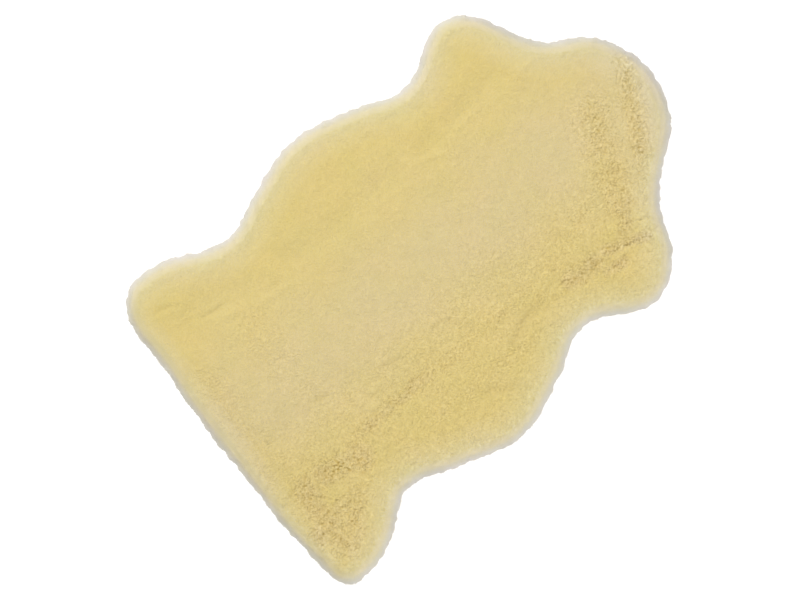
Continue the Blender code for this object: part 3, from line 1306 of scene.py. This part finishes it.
class Shader:
    """A material's node tree, and the means to add to it."""

    def __init__(self, name: str) -> None:
        """Starts a material with only its surface shader.

        Args:
            name: The material's name.
        """
        self.material = bpy.data.materials.new(name)
        self.material.use_nodes = True
        self.tree = self.material.node_tree
        self.surface = self.tree.nodes["Principled BSDF"]

    def node(
        self,
        kind: str,
        settings: dict[str, object] | None = None,
        inputs: dict[str | int, object] | None = None,
    ) -> bpy.types.Node:
        """Adds a node.

        Args:
            kind: The node's type.
            settings: Its settings, and a ramp's stops as rows of place and colour.
            inputs: The value or field for each of its sockets.

        Returns:
            The node.
        """
        made = self.tree.nodes.new(kind)
        for name, value in (settings or {}).items():
            if name == "stops":
                stops = made.color_ramp.elements
                for _ in value[2:]:
                    stops.new(1.0)
                for stop, (place, colour) in zip(stops, value):
                    stop.position = place
                    stop.color = colour
            else:
                setattr(made, name, value)
        for name, value in (inputs or {}).items():
            self.feed(made.inputs[name], value)
        return made

    def feed(self, socket: bpy.types.NodeSocket, value: object) -> None:
        """Links a field to a socket, or sets the socket's own value.

        Args:
            socket: The socket.
            value: The field or the value.
        """
        if isinstance(value, Field):
            self.tree.links.new(value.socket, socket)
        else:
            socket.default_value = value

    def maths(self, operation: str, first: Number, second: Number) -> Field:
        """Works out one sum of two numbers."""
        made = self.node("ShaderNodeMath", {"operation": operation}, {0: first, 1: second})
        return Field(self, made.outputs[0])

    def stored(self, name: str) -> Field:
        """Reads a value that is stored on the mesh."""
        made = self.node("ShaderNodeAttribute", {"attribute_name": name})
        return Field(self, made.outputs["Fac"])

    def place(self) -> Field:
        """Returns the point of the surface in the object's own metres."""
        return Field(self, self.node("ShaderNodeTexCoord").outputs["Object"])

    def grain(self, size: float, detail: float = 2.0) -> Field:
        """Makes soft noise.

        Args:
            size: The size of its lumps.
            detail: How many finer layers it has.

        Returns:
            The noise, from 0 to 1.
        """
        made = self.node(
            "ShaderNodeTexNoise",
            {"noise_dimensions": "3D"},
            {"Vector": self.place(), "Scale": 1.0 / size, "Detail": detail},
        )
        return Field(self, made.outputs["Fac"])

    def ramp(self, factor: Field, stops: tuple[tuple[float, Colour], ...]) -> Field:
        """Turns a number into a colour."""
        made = self.node("ShaderNodeValToRGB", {"stops": stops}, {"Fac": factor})
        return Field(self, made.outputs["Color"])

    def mix(
        self, factor: Number, first: Colour | Field, second: Colour | Field, blend: str = "MIX"
    ) -> Field:
        """Mixes two colours.

        Args:
            factor: How much of the second there is.
            first: The first colour.
            second: The second colour.
            blend: Blender's name for the way to mix them.

        Returns:
            The mixed colour.
        """
        colour_a, colour_b, result = 6, 7, 2
        settings = {"data_type": "RGBA", "blend_type": blend}
        made = self.node("ShaderNodeMix", settings, {0: factor, colour_a: first, colour_b: second})
        return Field(self, made.outputs[result])

    def tinted(self, colour: Field, *tints: Field) -> Field:
        """Multiplies a colour by others.

        Args:
            colour: The colour.
            tints: The others, in order.

        Returns:
            The product.
        """
        for tint in tints:
            colour = self.mix(1.0, colour, tint, "MULTIPLY")
        return colour

    def grey(self, value: Field) -> Field:
        """Turns a number into a grey."""
        made = self.node("ShaderNodeCombineColor", {}, {0: value, 1: value, 2: value})
        return Field(self, made.outputs[0])

    def bump(self, height: Field, distance: float, strength: float) -> Field:
        """Makes a bumped normal from a height."""
        inputs = {"Height": height, "Distance": distance, "Strength": strength}
        return Field(self, self.node("ShaderNodeBump", {}, inputs).outputs["Normal"])

    def finish(self, **sockets: object) -> bpy.types.Material:
        """Feeds the surface shader's sockets.

        Args:
            sockets: A value or a field for each, by its name with _ for a space.

        Returns:
            The material.
        """
        for name, value in sockets.items():
            self.feed(self.surface.inputs[name.replace("_", " ")], value)
        return self.material


@dataclass(frozen=True)
class WoolFinish:
    """Sheared lambswool: warm cream yellow, with painted light paling it out to the rim and painted
    shade deepening it between the locks.
    """

    name: str
    # From the rim line inwards, as shares of rim_width. The pale outer stops are painted light shining
    # through the thin fringe.
    stops: tuple[tuple[float, Colour], ...] = (
        (0.03, linear(224, 221, 212)),
        (0.13, linear(224, 219, 199)),
        (0.20, linear(222, 214, 185)),
        (0.32, linear(217, 207, 163)),
        (0.60, linear(219, 205, 150)),
        (1.00, linear(218, 201, 136)),
    )
    rim_width: float = 0.062
    # At the rim line whole locks have their tips' colour, and less and less of it this far in, so no
    # painted root shade darkens the rim's painted light.
    pale_width: float = 0.014
    # The root's deeper yellow is painted shade, as deep in the pile.
    root: Colour = (1.02, 0.93, 0.48, 1.0)
    tip: Colour = (1.02, 1.02, 1.08, 1.0)
    # The tip's colour takes over from this tone of a lock's, this fast.
    tip_gain: float = 1.8
    tip_start: float = 0.35
    # Painted shade for wool in a crease or hollow, and wool paled by the sun, against the rest.
    plain: Colour = (1.0, 1.0, 1.0, 1.0)
    crease: Colour = (0.66, 0.57, 0.33, 1.0)
    bleached: Colour = (0.985, 1.01, 1.34, 1.0)
    # Cooler and warmer wool lies in patches of this size.
    cool: Colour = (0.97, 0.98, 0.90, 1.0)
    warm: Colour = (1.03, 1.00, 1.02, 1.0)
    patch: float = 0.045
    # Curly wool is lighter by this. The locks' own shades differ by the second value in velvet,
    # and by that and the third in curly wool.
    curl_light: float = 0.24
    velvet_fleck: float = 0.02
    curl_fleck: float = 0.24
    # The tips are this much less rough than the roots.
    roughness: float = 0.95
    tip_gloss: float = 0.12
    specular: float = 0.25
    sheen: float = 0.25
    sheen_roughness: float = 0.45
    sheen_tint: Colour = (1.0, 0.97, 0.88, 1.0)
    # The size of the fibres, and their bump's height and strength.
    fibre: float = 0.0007
    bump_height: float = 0.0003
    bump_strength: float = 0.5

    def material(self) -> bpy.types.Material:
        """Makes the material.

        Returns:
            The material.
        """
        shader = Shader(self.name)
        inset, tone, fleck, curl, hollow, paled = (
            shader.stored(name) for name in ("inset", "tone", "fleck", "curl", "hollow", "bleach")
        )
        # Paler out to the rim: painted light shining through the thin fringe.
        base = shader.ramp(inset / self.rim_width, self.stops)
        # Painted shade low on each lock and in hollows, where the root's colour shows; none at the rim
        # line.
        tipped = (tone * self.tip_gain - self.tip_start).held().over(1.0 - inset / self.pale_width)
        depth = shader.mix(tipped, self.root, self.tip)
        patch = shader.mix(shader.grain(self.patch), self.cool, self.warm)
        # Painted shade in hollows and creases.
        crease = shader.mix(hollow, self.plain, self.crease)
        bleach = shader.mix(paled * (1.0 - hollow), self.plain, self.bleached)
        spread = self.velvet_fleck + self.curl_fleck * curl
        shade = 1.0 + self.curl_light * curl * curl - spread * (0.5 - fleck)
        fibres = shader.grain(self.fibre, 1.0)
        return shader.finish(
            Base_Color=shader.tinted(base, depth, patch, crease, bleach, shader.grey(shade)),
            Roughness=self.roughness - self.tip_gloss * tone,
            Specular_IOR_Level=self.specular,
            Sheen_Weight=self.sheen,
            Sheen_Roughness=self.sheen_roughness,
            Sheen_Tint=self.sheen_tint,
            Normal=shader.bump(fibres, self.bump_height, self.bump_strength),
        )


@dataclass(frozen=True)
class SuedeFinish:
    """The flesh side of the tanned skin: matt suede, mottled, with a fine nap."""

    name: str = "suede_hide"
    pale: Colour = linear(214, 196, 150)
    deep: Colour = linear(190, 166, 112)
    # The sizes of its clouds, of its nap and of its coarser unevenness.
    clouds: float = 0.060
    nap: float = 0.0012
    pits: float = 0.006
    # How strongly clouds and nap change its colour, and how dark it is between the clouds.
    cloud_gain: float = 1.6
    cloud_start: float = 0.3
    nap_gain: float = 0.5
    roughness: float = 0.90
    nap_roughness: float = 0.08
    specular: float = 0.2
    sheen: float = 0.15
    # How deep the coarser unevenness is against the nap, and the bump's height and strength.
    pit_depth: float = 2.0
    bump_height: float = 0.0003
    bump_strength: float = 0.6

    def material(self) -> bpy.types.Material:
        """Makes the material.

        Returns:
            The material.
        """
        shader = Shader(self.name)
        clouds = shader.grain(self.clouds, 5.0)
        nap = shader.grain(self.nap, 3.0)
        share = clouds * self.cloud_gain - self.cloud_start + (nap - 0.5) * self.nap_gain
        height = nap + self.pit_depth * shader.grain(self.pits, 2.0)
        return shader.finish(
            Base_Color=shader.mix(share.held(), self.deep, self.pale),
            Roughness=self.roughness + self.nap_roughness * nap,
            Specular_IOR_Level=self.specular,
            Sheen_Weight=self.sheen,
            Normal=shader.bump(height, self.bump_height, self.bump_strength),
        )


@dataclass(frozen=True)
class FloorFinish:
    """A plain pale studio floor."""

    name: str = "pale_floor"
    colour: Colour = (0.93, 0.93, 0.93, 1.0)
    glow: float = 0.60

    def material(self) -> bpy.types.Material:
        """Makes the material.

        Returns:
            The material.
        """
        shader = Shader(self.name)
        return shader.finish(
            Base_Color=self.colour,
            Roughness=0.9,
            Specular_IOR_Level=0.0,
            Emission_Color=(1.0, 1.0, 1.0, 1.0),
            Emission_Strength=self.glow,
        )


# --- The rug ----------------------------------------------------------------------------------


@dataclass
class Bed:
    """The dense wool itself: a fine uneven surface, in bands along the back, and its round rim."""

    pelt: Pelt
    nap: Nap
    relief: Relief
    bands: tuple[str, ...] = ("bed_rump", "bed_shoulders")
    edge_name: str = "bed_edge"
    # How far it lies under the tips of the locks, in the field and at the rim.
    depth: tuple[float, float] = (0.0009, 0.0012)
    spacing: float = 0.0016
    jitter: float = 0.22
    # The field's points begin this far inside the rounded edge.
    margin: float = 0.002
    rim_spacing: float = 0.0022
    rings: int = 18
    # The first ring and the last, as shares of the way from the hide's edge to the shoulder.
    reach: tuple[float, float] = (0.02, 0.97)
    gap: float = 0.0021
    # Its first ring is drawn in this far over the hide's edge.
    tuck: float = 0.0040
    # Wool that faces down this much isn't lit from above.
    overhang: float = 0.35
    # Its shades keep to this part of the locks' own, and its tone falls by this in a hollow, which
    # paints shade there through the root's colour.
    flecks: tuple[float, float] = (0.25, 0.75)
    hollow_tone: float = 0.5

    def build(self) -> list[bpy.types.Object]:
        """Makes the bed.

        Returns:
            Its bands along the back, and the rounded edge round them.
        """
        rim = self.pelt.rim
        scatter = Scatter(self.pelt, self.relief.top, np.random.default_rng(SEED + 1))
        around = round(rim.length / self.rim_spacing)
        turn = np.tile(np.arange(around), self.rings) * rim.length / around
        climb = np.repeat(np.linspace(*self.reach, self.rings), around)
        edge = scatter.on_edge(turn, climb * self.pelt.climb)
        self.roots = edge.joined(scatter.field(self.spacing, self.jitter, self.margin))
        rimward = 1.0 - smooth_step(self.roots.inset / self.pelt.shoulder)
        sunk = between(self.depth, rimward)
        self.places = self.roots.place - self.roots.normal * sunk[:, None]
        self.places[:, 2] = np.maximum(self.places[:, 2], self.gap)
        self.places[:around] -= self.tuck * self.roots.outward[:around]
        outer = len(edge.place) - around
        top = filled(self.places[outer:], around) + outer
        firsts = range(0, outer, around)
        side = np.vstack([band(first, first + around, around) for first in firsts])
        true = vertex_normals(self.places, np.vstack([side, top]))
        self.facing = lifted(true, smooth_step(1.0 + true[:, 2] / self.overhang))
        order = np.argsort(self.places[top, 1].mean(1), kind="stable")
        pieces = []
        for name, chosen in zip(self.bands, np.array_split(order, len(self.bands))):
            corners = self.places[top[chosen], :2]
            low, high = corners.min((0, 1)), corners.max((0, 1))
            pieces.append(self._piece(name, top[chosen], (corners - low) / (high - low)))
        spots = np.column_stack([turn / rim.length, climb])[side]
        wrapped = np.ptp(spots[..., 0], axis=1) > 0.5
        spots[..., 0] += (spots[..., 0] < 0.5) & wrapped[:, None]
        return pieces + [self._piece(self.edge_name, side, spots)]

    def _piece(self, name: str, corners: Array, spots: Array) -> bpy.types.Object:
        """Makes one piece out of some of the triangles.

        Args:
            name: The piece's name.
            corners: The triangles, as rows of three point numbers.
            spots: Their corners' places on the map.

        Returns:
            The piece.
        """
        used, local = np.unique(corners, return_inverse=True)
        mesh = triangle_mesh(name, self.places[used], local.reshape(-1, 3))
        roots = self.roots.picked(used)
        staples = self.relief.staples
        shade = staples.shade[staples.nearest(roots.place) // staples.bends]
        add_values(mesh, "tone", 1.0 - self.hollow_tone * self.relief.hollow.at(roots.place))
        dress_wool(mesh, roots, self.nap, self.relief, between(self.flecks, shade))
        add_map(mesh, np.clip(spots, 0.0, 1.0))
        mesh.normals_split_custom_set_from_vertices(self.facing[used])
        return new_piece(name, mesh)


@dataclass
class Hide:
    """The thin tanned skin under the wool."""

    pelt: Pelt
    thickness: float = 0.0018
    spacing: float = 0.006
    jitter: float = 0.2
    edge_spacing: float = 0.004
    # It isn't quite flat: it ripples this high, in lumps of this size.
    ripple: float = 0.0003
    ripple_size: float = 0.040
    floor_gap: float = 0.0002

    def build(self) -> bpy.types.Object:
        """Makes the hide as a closed thin sheet.

        Returns:
            The piece.
        """
        line = RimLine(self.pelt.hide_line, self.edge_spacing)
        around = len(line.points)
        scatter = Scatter(self.pelt, self.pelt.height, np.random.default_rng(SEED + 2))
        flat = np.vstack([line.points, scatter.field(self.spacing, self.jitter).place[:, :2]])
        cap = filled(flat, around)
        wave = self.ripple * (1.0 + noise_at(flat, self.ripple_size, Layer.HIDE))
        low = np.column_stack([flat, self.floor_gap + wave])
        high = np.column_stack([flat, self.floor_gap + wave + self.thickness])
        count = len(flat)
        faces = np.vstack([cap[:, ::-1], cap + count, band(0, count, around)])
        self.flat = np.ptp(line.points, axis=0)
        self.area = area_inside(line.points)
        return new_piece("hide", triangle_mesh("hide", np.vstack([low, high]), faces))


@dataclass
class Fleece:
    """The wool: its bed, the locks of its field in bands along the back, and those of its rim."""

    pelt: Pelt
    nap: Nap = field(default_factory=Nap)
    bands: tuple[str, ...] = ("wool_rump", "wool_shoulders")
    # How far apart the staples, the locks of the field and of the rim, and the wisps are.
    staple_spacing: float = 0.0040
    pile_spacing: float = 0.00155
    rim_spacing: float = 0.00130
    wisp_spacing: float = 0.0032
    # How far each is shaken, as a share of its spacing.
    staple_jitter: float = 0.42
    pile_jitter: float = 0.40
    wisp_jitter: float = 0.50
    # How far up the rounded edge, from the edge of the hide, each begins.
    staple_start: float = 0.004
    rim_start: float = 0.003
    wisp_start: float = 0.006
    # Thin wisps stick out of the rim where the wool faces this much to the side.
    wisp_facing: float = 0.55

    def build(self) -> list[bpy.types.Object]:
        """Makes all the wool.

        Returns:
            Its pieces.
        """
        chance = np.random.default_rng(SEED)
        scatter = Scatter(self.pelt, self.pelt.height, chance)
        centres = scatter.field(self.staple_spacing, self.staple_jitter).joined(
            scatter.edge(self.staple_spacing, self.staple_jitter, self.staple_start)
        )
        curl = self.nap.curl(centres.place, centres.inset)
        relief = Relief(self.pelt, self.nap, Staples(centres, curl, chance))
        scatter = Scatter(self.pelt, relief.top, chance)
        wisps = scatter.edge(self.wisp_spacing, self.wisp_jitter, self.wisp_start)
        facing = (wisps.normal * wisps.outward).sum(-1)
        pile = scatter.field(self.pile_spacing, self.pile_jitter)
        order = np.argsort(pile.place[:, 1], kind="stable")
        kinds = [
            (name, PILE, pile.picked(chosen))
            for name, chosen in zip(self.bands, np.array_split(order, len(self.bands)))
        ]
        rim = scatter.edge(self.rim_spacing, self.pile_jitter, self.rim_start)
        kinds.append(("wool_rim", RIM_PILE, rim))
        kinds.append(("wool_fringe", WISP, wisps.picked(facing > self.wisp_facing)))
        bed = Bed(self.pelt, self.nap, relief).build()
        return bed + [Locks(*kind, self.nap, relief, chance).build() for kind in kinds]


@dataclass
class SheepskinRug:
    """The whole rug: its fleece and its hide, dressed and set on the pelt's body."""

    pelt: Pelt

    def build(self) -> None:
        """Builds and dresses every piece."""
        wool = WoolFinish("sheared_wool").material()
        for piece in Fleece(self.pelt).build():
            self._place(piece, wool, "wool")
        hide = Hide(self.pelt)
        skin = hide.build()
        self._place(skin, SuedeFinish().material(), "hide")

    @staticmethod
    def _place(piece: bpy.types.Object, finish: bpy.types.Material, slot: str) -> None:
        """Dresses a piece and ties it to the pelt's body.

        Args:
            piece: The piece.
            finish: Its material.
            slot: The slot that the finish stands for; it is not used.
        """
        piece.data.materials.append(finish)
        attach(piece, BODY)
        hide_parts(PELT)
        log.info("%s: %d triangles", piece.name, len(piece.data.polygons))


# --- The studio -------------------------------------------------------------------------------


@dataclass
class Studio:
    """The pale floor, the soft light and the camera."""

    floor_size: float = 12.0
    sky: float = 0.82
    # Each soft lamp's energy and place: the key off the left side, and a low fill off the right.
    lamps: tuple[tuple[str, float, tuple[float, float, float]], ...] = (
        ("soft_key", 61.0, (-2.80, 0.10, 2.05)),
        ("soft_fill", 33.0, (2.90, 0.30, 1.10)),
    )
    lamp_size: float = 2.0
    # The camera looks straight down, turned so that the neck points up and to the right.
    lens: float = 85.0
    sensor: float = 36.0
    view_width: float = 1.2498
    aim: tuple[float, float, float] = (0.0017, -0.0816, 0.020)
    turn_deg: float = 50.0

    def build(self) -> None:
        """Makes the floor, the lights and the camera."""
        self._floor()
        self._light()
        self._camera()
        bpy.context.scene.view_settings.view_transform = "Standard"

    def _floor(self) -> None:
        """Makes the floor."""
        half = self.floor_size / 2
        corners = np.array([(-half, -half, 0), (half, -half, 0), (half, half, 0), (-half, half, 0)])
        mesh = triangle_mesh("floor", corners, np.array([(0, 1, 2), (0, 2, 3)]))
        mesh.materials.append(FloorFinish().material())
        new_piece("floor", mesh)

    def _light(self) -> None:
        """Makes an even pale sky and the large soft lamps."""
        world = bpy.data.worlds.new("studio")
        world.use_nodes = True
        sky = world.node_tree.nodes["Background"]
        sky.inputs["Color"].default_value = (1.0, 1.0, 1.0, 1.0)
        sky.inputs["Strength"].default_value = self.sky
        bpy.context.scene.world = world
        for name, energy, place in self.lamps:
            light = bpy.data.lights.new(name, "AREA")
            light.energy = energy
            light.size = self.lamp_size
            lamp = new_piece(name, light)
            lamp.location = place
            lamp.rotation_euler = (-Vector(place)).to_track_quat("-Z", "Y").to_euler()

    def _camera(self) -> None:
        """Makes the camera, straight above the rug."""
        lens = bpy.data.cameras.new("camera")
        lens.lens = self.lens
        lens.sensor_width = self.sensor
        camera = new_piece("camera", lens)
        x, y, z = self.aim
        camera.location = (x, y, z + self.view_width * self.lens / self.sensor)
        camera.rotation_euler = (0.0, 0.0, math.radians(self.turn_deg))
        bpy.context.scene.camera = camera


def main() -> None:
    """Builds the rug and its studio, in order."""
    logging.basicConfig(level=logging.INFO, format="%(name)s: %(message)s")
    SheepskinRug(Pelt(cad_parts[PELT])).build()
    Studio().build()


if __name__ == "__main__":
    main()
